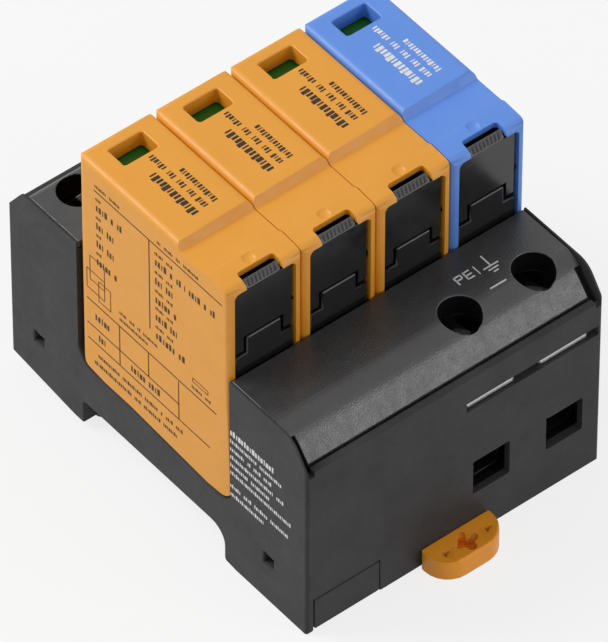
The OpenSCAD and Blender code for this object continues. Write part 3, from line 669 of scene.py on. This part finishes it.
    @staticmethod
    def shared_middle(pair: list[list[Vector]]) -> Vector:
        """Finds the middle of the box that two triangles share.

        Args:
            pair: The corners of both triangles.

        Returns:
            The middle.
        """
        low = [max(min(spot[i] for spot in three) for three in pair) for i in range(3)]
        high = [min(max(spot[i] for spot in three) for three in pair) for i in range(3)]
        return (Vector(low) + Vector(high)) / 2

    def is_near(self, number: int, spots: list[Vector]) -> bool:
        """Tells whether an edge passes close to one of the spots.

        Args:
            number: Number of the edge.
            spots: The spots.

        Returns:
            True where it passes closer than a few widths.
        """
        first, last = (vert.co for vert in self.shape.edges[number].verts)
        for spot in spots:
            share = min(1.0, max(0.0, intersect_point_line(spot, first, last)[1]))
            if (first.lerp(last, share) - spot).length < self.near_widths * self.width:
                return True
        return False


@dataclass
class Workshop:
    """What the sub-assemblies share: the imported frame, the palette and the mesh tolerances."""

    frame: dict
    palette: Palette = field(default_factory=Palette)
    merge: float = 0.001 * MM
    flat: float = math.radians(0.6)
    crease: float = math.radians(38)

    def body_of(self, node: str) -> str:
        """Returns the name of the body that carries a node."""
        bodies = self.frame["record"]["behaviour"]["bodies"]
        return next(name for name, nodes in bodies.items() if node in nodes)

    def softened(self, node: str, finish: Finish, width: float, segments: int = 2,
                 stays_sharp: SpotTest = lambda spot: False) -> bpy.types.Object:
        """Replaces a solid by a copy with softened convex edges.

        Args:
            node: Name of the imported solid.
            finish: Finish of the copy.
            width: Width of the softened edges in metres.
            segments: Steps across each edge.
            stays_sharp: Test of an edge's middle, for edges that are left as they are.

        Returns:
            The new piece.
        """
        shape = bmesh.new()
        shape.from_mesh(self.frame["nodes"][node].data)
        bmesh.ops.remove_doubles(shape, verts=shape.verts, dist=self.merge)
        bmesh.ops.dissolve_limit(shape, angle_limit=self.flat, verts=shape.verts, edges=shape.edges)
        soft = EdgeSoftener(shape, width, segments, stays_sharp).soften()
        piece = self.piece(node + "_soft", soft, finish, self.body_of(node))
        even = piece.modifiers.new("even_shading", "WEIGHTED_NORMAL")
        even.keep_sharp = True
        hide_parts(node)
        return piece

    def piece(self, name: str, shape: bmesh.types.BMesh, finish: Finish, body: str) -> bpy.types.Object:
        """Makes a piece of a finished shape and lets it ride on a body.

        Args:
            name: Name of the piece.
            shape: Its shape, which is used up.
            finish: Its finish.
            body: Name of the body that carries it.

        Returns:
            The new piece.
        """
        made = object_of(name, shape)
        made.data.materials.append(self.palette.material(finish))
        made.data.shade_smooth()
        made.data.set_sharp_from_angle(angle=self.crease)
        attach(made, body)
        LOG.info("piece %s on %s, %d faces", name, body, len(made.data.polygons))
        return made

    def line_faces(self, piece: bpy.types.Object, finish: Finish, inside: SpotTest) -> None:
        """Gives some faces of a piece a second material, such as painted shade or a painted highlight.

        Args:
            piece: Piece with one finish.
            finish: Finish of the chosen faces.
            inside: Test of a face's middle.
        """
        piece.data.materials.append(self.palette.material(finish))
        for face in piece.data.polygons:
            if inside(face.center):
                face.material_index = 1

    def dress(self, node: str, finish: Finish) -> None:
        """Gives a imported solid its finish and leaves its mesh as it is.

        Args:
            node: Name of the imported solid.
            finish: Its finish.
        """
        solid = self.frame["nodes"][node]
        solid.data.materials.clear()
        solid.data.materials.append(self.palette.material(finish))
        LOG.info("solid %s dressed as %s", node, finish.name)


@dataclass(frozen=True)
class InkField:
    """One strip of ink on a printed face, centred on its place, in millimetres."""

    along: float
    up: float
    length: float
    height: float

    def strips(self) -> list["InkField"]:
        """Returns the strip alone."""
        return [self]


@dataclass(frozen=True)
class PrintedFrame:
    """Outline of a rectangle, from its lower left corner, in millimetres."""

    along: float
    up: float
    length: float
    height: float
    line: float = 0.2

    def strips(self) -> list[InkField]:
        """Lays the rectangle's four lines.

        Returns:
            Their strips.
        """
        middle, half_way = self.along + self.length / 2, self.up + self.height / 2
        level = [InkField(middle, up, self.length, self.line) for up in (self.up, self.up + self.height)]
        upright = [InkField(along, half_way, self.line, self.height)
                   for along in (self.along, self.along + self.length)]
        return level + upright


@dataclass(frozen=True)
class BlockStyle:
    """Style of the small blocks that stand in for print, by the height of a row."""

    height: float
    cover: float = 0.7
    pitch: float = 0.56
    levels: Lengths = (1.0, 0.82, 0.82, 1.0, 0.82, 0.9, 0.82)
    widths: Lengths = (0.7, 1.0, 0.45, 1.15, 0.85)


@dataclass(frozen=True)
class PrintedRow:
    """Row of word-long groups of blocks: its start, its middle and the groups' lengths."""

    style: BlockStyle
    along: float
    up: float
    words: Lengths
    gap: float = 0.8

    def strips(self) -> list[InkField]:
        """Lays the groups on one base line.

        Returns:
            The blocks, from left to right.
        """
        style = self.style
        row: list[InkField] = []
        start = self.along
        for length in self.words:
            count = max(1, round(length / (style.pitch * style.height)))
            step = length / count
            for place in range(count):
                tall = style.height * style.levels[(place + count) % len(style.levels)]
                wide = step * style.cover * style.widths[place % len(style.widths)]
                middle = start + (place + 0.5) * step
                row.append(InkField(middle, self.up - (style.height - tall) / 2, wide, tall))
            start += length + self.gap
        return row


@dataclass(frozen=True)
class PrintedColumn:
    """Column of rows, each with the same small caption above it."""

    style: BlockStyle
    along: float
    rows: tuple[tuple[float, Lengths], ...]
    caption_style: BlockStyle
    caption: Lengths = ()
    rise: float = 0.0

    def strips(self) -> list[InkField]:
        """Lays the rows and their captions.

        Returns:
            The blocks, row by row.
        """
        made: list[InkField] = []
        for up, words in self.rows:
            made += PrintedRow(self.style, self.along, up, words).strips()
            made += PrintedRow(self.caption_style, self.along, up + self.rise, self.caption).strips()
        return made


Print = tuple[InkField | PrintedFrame | PrintedRow | PrintedColumn, ...]

FINE, SMALL, BIG = BlockStyle(0.8), BlockStyle(1.0), BlockStyle(1.7)
TOP_ROW, TOP_TITLE = BlockStyle(1.35), BlockStyle(1.9, cover=0.82)
SIDE_TITLE = BlockStyle(1.5, cover=0.8)

SIDE_PRINT: Print = (
    PrintedRow(SIDE_TITLE, 23.0, 29.6, (13.2,)),
    PrintedColumn(SMALL, 23.0, ((27.3, (8.0, 6.6)), (25.1, (4.4, 1.0, 2.2, 2.4)), (22.9, (13.0, 2.2)),
                                (20.7, (5.4, 5.6)), (18.6, (18.2,)), (14.9, (3.2, 2.4, 4.0, 5.4)),
                                (12.6, (10.2,))), FINE),
)
TOP_PRINT: Print = (
    PrintedRow(TOP_TITLE, -4.0, 1.6, (13.6,)),
    PrintedRow(TOP_ROW, -3.6, -1.2, (2.8, 2.2, 2.4, 2.2, 4.6), 0.7),
    PrintedRow(TOP_ROW, -3.6, -3.5, (10.6,)),
)
RULING = 0.28
CHEEK_PRINT: Print = (
    InkField(1.6, 62.0, 38.4, RULING), InkField(-1.0, 49.8, RULING, 24.0),
    InkField(-0.7, 30.7, 39.2, RULING), InkField(-6.3, 24.0, 28.0, RULING),
    InkField(-1.6, 19.8, 37.0, RULING), InkField(-10.4, 25.3, RULING, 10.8),
    InkField(-1.6, 27.3, RULING, 6.6), InkField(7.5, 25.0, RULING, 10.6),
    PrintedRow(FINE, -17.4, 63.4, (3.6, 3.2)),
    PrintedRow(FINE, 1.4, 63.4, (1.2, 2.8, 1.4, 4.6)),
    PrintedColumn(BIG, -17.2, ((57.7, (3.6, 1.2, 1.6)), (52.8, (2.4, 2.4)), (48.0, (2.4, 2.4)),
                               (43.1, (4.4, 1.3))), FINE, (1.6,), 2.3),
    PrintedColumn(BIG, 0.6, ((57.5, (3.6, 1.2, 1.6, 0.5, 3.6, 1.2, 1.6)), (52.4, (2.4, 2.4)),
                             (47.3, (4.6, 1.3)), (42.6, (3.6, 2.4)), (37.5, (6.0, 2.2))),
                  FINE, (2.6, 2.0), 2.4),
    PrintedFrame(-19.2, 36.6, 4.4, 6.4), PrintedFrame(-20.2, 33.8, 5.4, 5.2),
    PrintedFrame(-16.6, 32.4, 3.6, 5.4),
    PrintedRow(FINE, -10.4, 34.6, (2.2, 1.6, 1.0, 4.4)), PrintedRow(FINE, -10.4, 32.8, (8.6,)),
    PrintedRow(BIG, -18.0, 27.3, (4.6,)), PrintedRow(BIG, -17.0, 22.0, (2.4,)),
    PrintedRow(BIG, -7.2, 22.0, (4.6, 3.6)),
    PrintedFrame(11.8, 33.9, 4.6, 1.0, 0.18), PrintedRow(FINE, 11.4, 32.4, (3.2, 1.8)),
    PrintedRow(SMALL, -17.2, 16.9, (6.6, 6.0, 4.0, 0.8, 2.2, 2.2)),
    PrintedRow(SMALL, -18.4, 14.4, (11.4, 2.0, 5.2, 4.4)),
)


@dataclass(frozen=True)
class EarthMark:
    """Letters and sign of the protective earth, with the bar and dash beside them, in millimetres."""

    line: float = 0.34
    low: float = -30.7
    high: float = -28.5
    p_left: float = 13.5
    p_arm: float = 1.4
    p_bowl: float = 1.45
    e_left: float = 15.7
    e_arm: float = 1.5
    bar: InkField = InkField(18.3, -29.7, 0.24, 2.4)
    sign: float = 21.2
    stem_up: float = -28.8
    stem: float = 3.0
    plates: tuple[tuple[float, float], ...] = ((-30.4, 3.6), (-31.2, 2.4), (-32.0, 1.2))
    dash_along: float = 19.2
    dash_up: float = -35.0
    dash: float = 3.9

    def strips(self) -> Print:
        """Lays the letters, the bar, the sign and the dash.

        Returns:
            Their strips.
        """
        line, middle, tall = self.line, (self.low + self.high) / 2, self.high - self.low
        head, toe = self.high - line / 2, self.low + line / 2
        p_middle, e_middle = self.p_left + self.p_arm / 2, self.e_left + self.e_arm / 2
        letters = [InkField(self.p_left, middle, line, tall), InkField(self.e_left, middle, line, tall),
                   InkField(self.p_left + self.p_bowl, (middle + self.high) / 2, line, self.high - middle)]
        letters += [InkField(p_middle, up, self.p_arm, line) for up in (head, middle)]
        letters += [InkField(e_middle, up, self.e_arm, line) for up in (toe, middle, head)]
        sign = [InkField(self.sign, self.stem_up, line, self.stem)]
        sign += [InkField(self.sign, up, length, line) for up, length in self.plates]
        return (*letters, self.bar, *sign, InkField(self.dash_along, self.dash_up, self.dash, line))


@dataclass(frozen=True)
class PrintedFace:
    """Flat face that carries print, given by a point on it and its two directions."""

    start: Vector
    along: Vector
    up: Vector
    lift: float = 0.03 * MM
    round_off: float = 0.07 * MM
    steps: int = 2
    upright: float = 0.9

    @property
    def out(self) -> Vector:
        """Direction away from the face."""
        return self.along.cross(self.up)

    def matrix(self, strip: InkField) -> Matrix:
        """Finds the placement of a unit cube for one strip of ink.

        Args:
            strip: The strip.

        Returns:
            The placement.
        """
        basis = Matrix((self.along, self.up, self.out)).transposed().to_4x4()
        on_face = (self.along * strip.along + self.up * strip.up) * MM
        size = Matrix.Diagonal((strip.length * MM, strip.height * MM, self.lift, 1.0))
        return Matrix.Translation(self.start + on_face + self.out * (self.lift / 2)) @ basis @ size

    def shape(self, items: Print) -> bmesh.types.BMesh:
        """Lays print on the face, with softened corners.

        Args:
            items: The strips, frames and rows.

        Returns:
            One shape that holds them all.
        """
        ink = bmesh.new()
        for item in items:
            for strip in item.strips():
                bmesh.ops.create_cube(ink, size=1.0, matrix=self.matrix(strip))
        corners = [edge for edge in ink.edges
                   if abs((edge.verts[0].co - edge.verts[1].co).normalized().dot(self.out)) > self.upright]
        bmesh.ops.bevel(ink, geom=corners, offset=self.round_off, offset_type="OFFSET", affect="EDGES",
                        segments=self.steps, profile=0.5, material=-1, clamp_overlap=True)
        return ink


@dataclass
class Base:
    """Black base: pan, covers, socket tray, port blank, print and earth mark."""

    shop: Workshop
    edge: float = 0.35 * MM
    fine_edge: float = 0.25 * MM
    row_half: float = 36 * MM
    screws: int = 6
    hole_radius: float = 4.3 * MM
    rim: float = 0.01 * MM

    def build(self) -> None:
        """Softens the mouldings, paints shade onto the screw hole walls and prints the side and the shoulder.
        """
        self.shop.softened("base_housing", HOUSING_BLACK, self.edge)
        boxes = [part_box(f"clamp_screw_{number}") for number in range(1, self.screws + 1)]
        axes = [((low + high) / 2).xy for low, high in boxes]
        reach = self.hole_radius + self.rim
        for node in ("top_cover", "back_cover"):
            cover = self.shop.softened(node, COVER_BLACK, self.fine_edge)
            # Painted shade: cover faces inside the screw holes get the near-black material.
            self.shop.line_faces(cover, HOLE_PAINTED_SHADE,
                                 lambda spot: any((spot.xy - axis).length < reach for axis in axes))
        self.shop.softened("socket_tray", COVER_BLACK, self.fine_edge)
        self.shop.softened("signal_port_blank", HOUSING_BLACK, self.fine_edge)
        self.print_side()
        self.mark_earth()

    def print_side(self) -> None:
        """Prints the rows of white strips low on the left side."""
        face = PrintedFace(Vector((-self.row_half, 0, 0)), Vector((0, -1, 0)), Vector((0, 0, 1)))
        self.shop.piece("side_print", face.shape(SIDE_PRINT), WHITE_INK, "base")

    def mark_earth(self) -> None:
        """Prints the protective earth letters and sign between the two front holes."""
        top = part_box("top_cover")[1].z
        face = PrintedFace(Vector((0, 0, top)), Vector((1, 0, 0)), Vector((0, 1, 0)))
        self.shop.piece("earth_mark", face.shape(EarthMark().strips()), WHITE_INK, "base")


@dataclass
class RailFoot:
    """Orange slide that locks the base on the rail."""

    shop: Workshop
    edge: float = 0.45 * MM
    steps: int = 3
    cross_reach: float = 3.0 * MM
    mark_reach: float = 1.6 * MM
    mark_place: float = 5.15 * MM

    def build(self) -> None:
        """Softens the slide, with crisp recesses in its finger tab."""
        tip, panel = (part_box(node)[0].y for node in ("din_foot", "base_housing"))
        middle = Vector((0.0, (tip + panel) / 2))
        self.shop.softened("din_foot", FOOT_ORANGE, self.edge, self.steps,
                           lambda spot: self.is_recess(spot.xy - middle))

    def is_recess(self, away: Vector) -> bool:
        """Tells whether a spot, taken from the tab's middle, lies at the cross or at a mark."""
        mark = Vector((abs(away.x) - self.mark_place, away.y))
        return away.length < self.cross_reach or mark.length < self.mark_reach


@dataclass
class Plug:
    """One protection plug: hood, carrier, latch, flag and the working pieces inside."""

    shop: Workshop
    number: int
    pitch: float = 18 * MM
    row_middle: float = 2.5
    edge: float = 0.35 * MM
    fine_edge: float = 0.18 * MM
    grip_height: float = 1.5 * MM
    cap: float = 2.5 * MM
    glaze: Triple = (0.78, 0.76, 0.7)
    cap_metal: Triple = (0.62, 0.62, 0.6)
    neutral: int = 4

    def build(self) -> None:
        """Softens the mouldings, dresses the inner pieces and prints the hood."""
        blue = self.number == self.neutral
        self.shop.softened(f"hood_{self.number}", HOOD_BLUE if blue else HOOD_ORANGE, self.edge)
        self.shop.softened(f"carrier_{self.number}", LATCH_BLACK, self.edge)
        latch = self.shop.softened(f"latch_{self.number}", LATCH_BLACK, self.fine_edge)
        grip_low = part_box(f"latch_{self.number}")[1].z - self.grip_height
        # Painted highlight: the faces of the grip at the latch's top get the lighter black.
        self.shop.line_faces(latch, GRIP_PAINTED_HIGHLIGHT, lambda spot: spot.z > grip_low)
        self.shop.softened(f"status_flag_{self.number}", FLAG_GREEN, self.fine_edge)
        self.shop.dress(f"contact_blades_{self.number}", TINNED_COPPER)
        self.shop.dress(f"thermal_link_{self.number}", BARE_COPPER)
        if blue:
            self.dress_spark_gap()
        else:
            self.shop.dress(f"varistor_{self.number}", VARISTOR_EPOXY)
        self.print_top(WHITE_INK if blue else BLACK_INK)
        if self.number == 1:
            self.print_cheek()

    def dress_spark_gap(self) -> None:
        """Gives the spark gap its glaze and metal caps."""
        first, last = (corner.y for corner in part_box("spark_gap"))
        self.shop.dress("spark_gap", CappedCeramic("ceramic_white", self.glaze, self.cap_metal,
                                                   first + self.cap, last - self.cap))

    def print_top(self, ink: PrintInk) -> None:
        """Prints three rows on the hood's top.

        Args:
            ink: Colour of the print.
        """
        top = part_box(f"hood_{self.number}")[1].z
        middle = (self.number - self.row_middle) * self.pitch
        face = PrintedFace(Vector((middle, 0, top)), Vector((0, 1, 0)), Vector((-1, 0, 0)))
        self.shop.piece(f"top_print_{self.number}", face.shape(TOP_PRINT), ink, f"plug_{self.number}")

    def print_cheek(self) -> None:
        """Prints the ruled table on the first hood's outer cheek."""
        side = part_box("hood_1")[0].x
        face = PrintedFace(Vector((side, 0, 0)), Vector((0, -1, 0)), Vector((0, 0, 1)))
        self.shop.piece("cheek_print", face.shape(CHEEK_PRINT), BLACK_INK, "plug_1")


@dataclass
class Terminals:
    """Conductor bars, socket clips, lifting cages and clamp screws."""

    shop: Workshop
    lines: int = 3
    clamps: int = 6
    edge: float = 0.2 * MM
    screw_edge: float = 0.12 * MM

    def build(self) -> None:
        """Softens what shows through the openings and dresses the rest."""
        for number in range(1, self.lines + 1):
            self.shop.dress(f"line_bar_{number}", BARE_COPPER)
        self.shop.dress("neutral_bar", BARE_COPPER)
        self.shop.softened("earth_bar", TINNED_COPPER, self.edge)
        self.shop.dress("socket_clips", TINNED_COPPER)
        for number in range(1, self.clamps + 1):
            # The cages carry painted shade in their near-black steel.
            self.shop.softened(f"clamp_cage_{number}", CAGE_STEEL_PAINTED_SHADE, self.edge)
            self.shop.softened(f"clamp_screw_{number}", SCREW_STEEL, self.screw_edge)


@dataclass(frozen=True)
class SoftBox:
    """Round soft lamp: its name, place and size in metres, and power in watts."""

    name: str
    place: Triple
    size: float
    power: float

    def hang(self, target: Vector) -> None:
        """Hangs the lamp and aims it.

        Args:
            target: Point that the lamp faces.
        """
        lamp = bpy.data.lights.new(self.name, "AREA")
        lamp.shape = "DISK"
        lamp.size = self.size
        lamp.energy = self.power
        hung = bpy.data.objects.new(self.name, lamp)
        hung.location = self.place
        hung.rotation_euler = (target - Vector(self.place)).to_track_quat("-Z", "Y").to_euler()
        bpy.context.collection.objects.link(hung)


@dataclass
class Studio:
    """Pale floor, soft lamps, pale surroundings and the camera, which follows the photograph."""

    floor_half: float = 3.0
    floor_grey: float = 0.7
    floor_glow: float = 0.8
    key_box: SoftBox = SoftBox("key_box", (-0.50, 0.50, 0.71), 0.5, 6.1)
    front_box: SoftBox = SoftBox("front_box", (0.39, -0.73, 0.36), 0.36, 1.4)
    room_light: float = 0.48
    seen_light: float = 1.0
    azimuth: float = -39.0827
    elevation: float = 46.7941
    roll: float = 0.0738
    distance: float = 2.0
    lens: float = 587.89
    sensor: float = 36.0
    nearest: float = 0.1
    farthest: float = 20.0
    target: Vector = field(default_factory=lambda: Vector((-0.2468, -1.0, 17.6406)) * MM)

    def build(self, floor_level: float) -> None:
        """Sets up everything around the object.

        Args:
            floor_level: Height of the floor in metres.
        """
        self.lay_floor(floor_level)
        self.key_box.hang(self.target)
        self.front_box.hang(self.target)
        self.light_surroundings()
        self.aim_camera()
        bpy.context.scene.view_settings.view_transform = "Standard"

    @staticmethod
    def pale_ray(bench: NodeBench) -> Socket:
        """Makes a factor that is 1 for rays from the camera, mirrors and glass.

        Args:
            bench: Bench of the floor's material or of the world.

        Returns:
            The factor's socket.
        """
        rays = bench.add("LightPath").outputs
        mirrored = bench.reckon("MAXIMUM", rays["Is Camera Ray"], rays["Is Glossy Ray"])
        return bench.reckon("MAXIMUM", mirrored, rays["Is Transmission Ray"])

    @staticmethod
    def mix(bench: NodeBench, output: str, factor: Socket, lit: bpy.types.Node, seen: bpy.types.Node) -> None:
        """Mixes what lights the object with what is seen, and links the mix to the output.

        Args:
            bench: Bench of the floor's material or of the world.
            output: Type name of the output node without its common prefix.
            factor: Share of what is seen.
            lit: Shader at factor 0.
            seen: Shader at factor 1.
        """
        mixed = bench.add("MixShader")
        for source, slot in zip((factor, lit.outputs[0], seen.outputs[0]), mixed.inputs):
            bench.link(source, slot)
        bench.link(mixed.outputs[0], bench.add(output).inputs["Surface"])

    def lay_floor(self, level: float) -> None:
        """Lays a matt floor that looks nearly white and keeps a soft shadow.

        Args:
            level: Height of the floor in metres.
        """
        shape = bmesh.new()
        bmesh.ops.create_grid(shape, x_segments=1, y_segments=1, size=self.floor_half,
                              matrix=Matrix.Translation((0, 0, level)))
        floor = object_of("floor", shape)
        material = bpy.data.materials.new("floor_pale")
        bench = NodeBench(material)
        matt, glow = bench.add("BsdfDiffuse"), bench.add("Emission")
        matt.inputs["Color"].default_value = (self.floor_grey, self.floor_grey, self.floor_grey, 1.0)
        glow.inputs["Strength"].default_value = self.seen_light
        share = bench.reckon("MULTIPLY", self.pale_ray(bench), self.floor_glow)
        self.mix(bench, "OutputMaterial", share, matt, glow)
        floor.data.materials.append(material)
        floor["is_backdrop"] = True

    def light_surroundings(self) -> None:
        """Makes the surroundings pale grey light, and white where they are seen."""
        world = bpy.data.worlds.new("pale_room")
        bpy.context.scene.world = world
        bench = NodeBench(world)
        room, seen = bench.add("Background"), bench.add("Background")
        for node, strength in ((room, self.room_light), (seen, self.seen_light)):
            node.inputs["Color"].default_value = (1.0, 1.0, 1.0, 1.0)
            node.inputs["Strength"].default_value = strength
        self.mix(bench, "OutputWorld", self.pale_ray(bench), room, seen)

    def aim_camera(self) -> None:
        """Places the camera at the photograph's viewing angle."""
        turn, lift, tip = (math.radians(angle) for angle in (self.azimuth, self.elevation, self.roll))
        back = Vector((math.sin(turn) * math.cos(lift), -math.cos(turn) * math.cos(lift), math.sin(lift)))
        level = Vector((math.cos(turn), math.sin(turn), 0.0))
        steep = back.cross(level)
        right = level * math.cos(tip) + steep * math.sin(tip)
        up = steep * math.cos(tip) - level * math.sin(tip)
        data = bpy.data.cameras.new("camera")
        data.lens = self.lens
        data.sensor_width = self.sensor
        data.clip_start = self.nearest
        data.clip_end = self.farthest
        camera = bpy.data.objects.new("camera", data)
        pose = Matrix((right, up, back)).transposed().to_4x4()
        pose.translation = self.target + back * self.distance
        camera.matrix_world = pose
        bpy.context.collection.objects.link(camera)
        bpy.context.scene.camera = camera


def plain(box: tuple[Vector, Vector]) -> list[list[float]]:
    """Turns a box into plain lists of numbers."""
    return [[float(value) for value in corner] for corner in box]


def main() -> None:
    """Builds the sub-assemblies in order and sets up the studio on the floor below the solids' box."""
    logging.basicConfig(level=logging.INFO, format="%(name)s: %(message)s")
    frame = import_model()
    solid_box = plain(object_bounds())
    floor_level = solid_box[0][2]
    shop = Workshop(frame)
    Base(shop).build()
    RailFoot(shop).build()
    for number in (1, 2, 3, 4):
        Plug(shop, number).build()
    Terminals(shop).build()
    Studio().build(floor_level)


if __name__ == "__main__":
    main()
